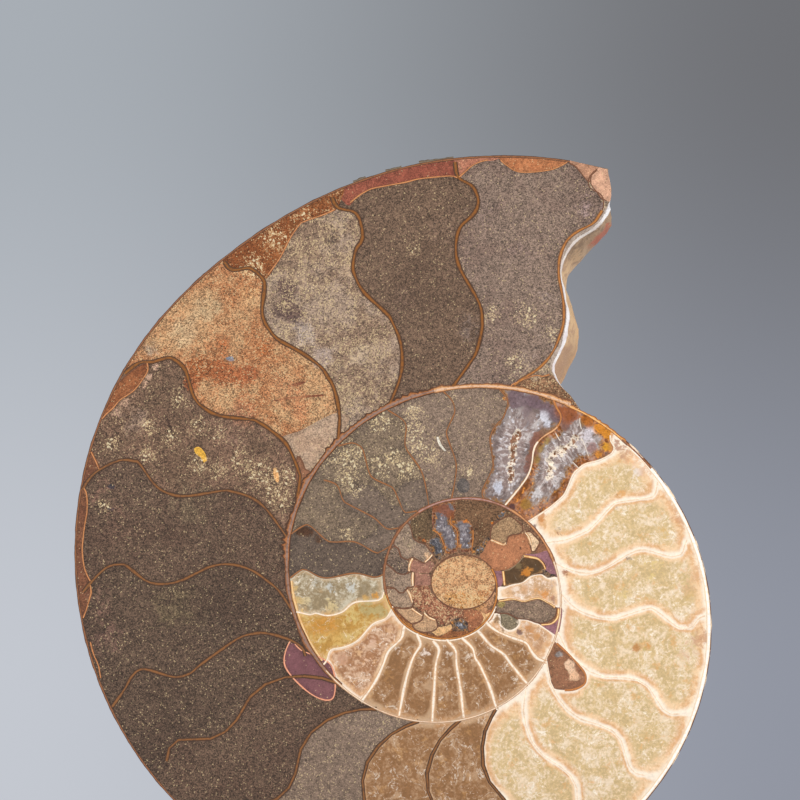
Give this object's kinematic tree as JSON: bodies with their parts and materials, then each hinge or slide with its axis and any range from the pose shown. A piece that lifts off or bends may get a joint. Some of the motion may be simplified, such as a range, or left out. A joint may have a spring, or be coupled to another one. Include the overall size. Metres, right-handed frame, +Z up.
{
  "type": "ammonite fossil half on stand",
  "caption": "Sawn and polished half of a large ammonite, resting upright with its cut face to the front in the felt-lined slot of a plain dark wooden base.",
  "frame": {"origin": "centre of the underside of the pad that the stand rests on", "axes": "+Z up; -Y the way the cut face looks; +X to the right as the cut face is seen, the side of the shell's broken end"},
  "size_m": [0.1592, 0.062, 0.2013],
  "materials": {
    "fossil_stone": "polished sawn face with mineral-filled chambers, satin ribbed shell behind",
    "walnut": "oiled satin dark hardwood",
    "felt": "dense matt wool felt"
  },
  "bodies": {
    "root": {"ammonite_half": "fossil_stone", "stand_base": "walnut", "slot_felt": "felt", "base_pad": "felt"}
  },
  "joints": []
}
